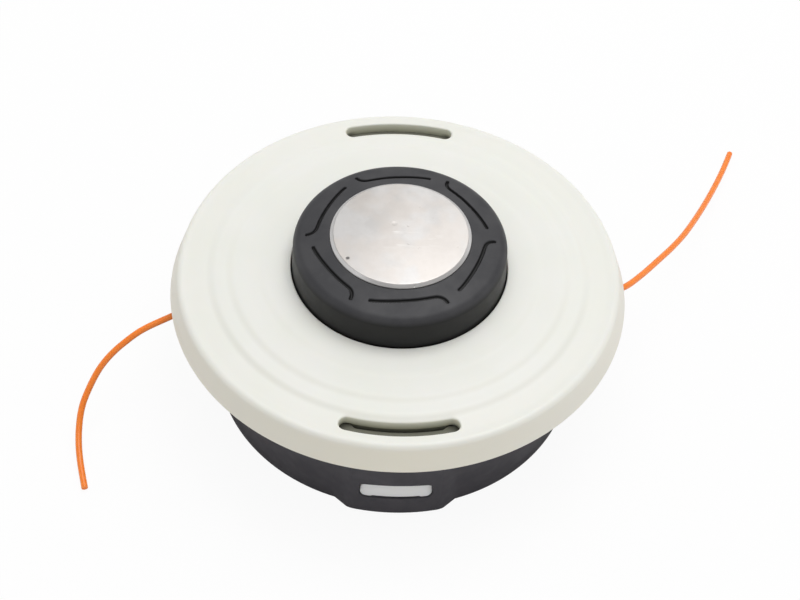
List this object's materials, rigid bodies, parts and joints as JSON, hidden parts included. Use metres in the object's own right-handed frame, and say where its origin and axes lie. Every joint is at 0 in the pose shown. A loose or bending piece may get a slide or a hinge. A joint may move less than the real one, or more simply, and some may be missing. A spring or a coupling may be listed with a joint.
{
  "type": "trimmer head",
  "caption": "Bump-feed head: tapered cup, stepped disc cover on snap hooks, grooved press knob with a steel wear disc, and nylon lines from sleeves in the sides.",
  "frame": {"origin": "middle of the plane that the head stands on, which is also its seat on the machine", "axes": "+Z along the spin axis from the shaft side to the knob; +Y through one of the snap catches; the line sleeves are 3 degrees from +X and -X"},
  "size_m": [0.2205, 0.1677, 0.0614],
  "materials": {
    "housing": "satin black moulded nylon",
    "cover": "smooth cream moulded nylon",
    "knob": "satin black moulded nylon",
    "spool": "black moulded nylon",
    "line": "orange nylon monofilament",
    "wear_steel": "dull turned steel, lightly worn",
    "plated_steel": "zinc plated",
    "spring_steel": "drawn spring wire"
  },
  "bodies": {
    "housing_body": {"housing": "housing", "cover": "cover", "shaft_nut": "plated_steel", "seat_washer": "plated_steel", "line_sleeve_right": "plated_steel", "line_sleeve_left": "plated_steel", "line_right": "line", "line_left": "line"},
    "bump_body": {"bump_spring": "spring_steel", "thrust_washer": "plated_steel"},
    "spool_body": {"spool": "spool", "line_winding": "line", "knob_ring": "knob", "wear_disc": "wear_steel", "knob_washer": "plated_steel", "knob_nut": "plated_steel"}
  },
  "joints": [
    {"name": "knob_press", "type": "slide", "parent": "housing_body", "child": "bump_body", "axis": [0, 0, -1], "range_m": [0, 0.006], "stiffness_N_per_m": 2500, "springref_m": -0.008, "deforming": ["bump_spring"]},
    {"name": "spool_spin", "type": "hinge", "parent": "bump_body", "child": "spool_body", "pos_m": [0, 0, 0], "axis": [0, 0, 1], "continuous": true}
  ]
}
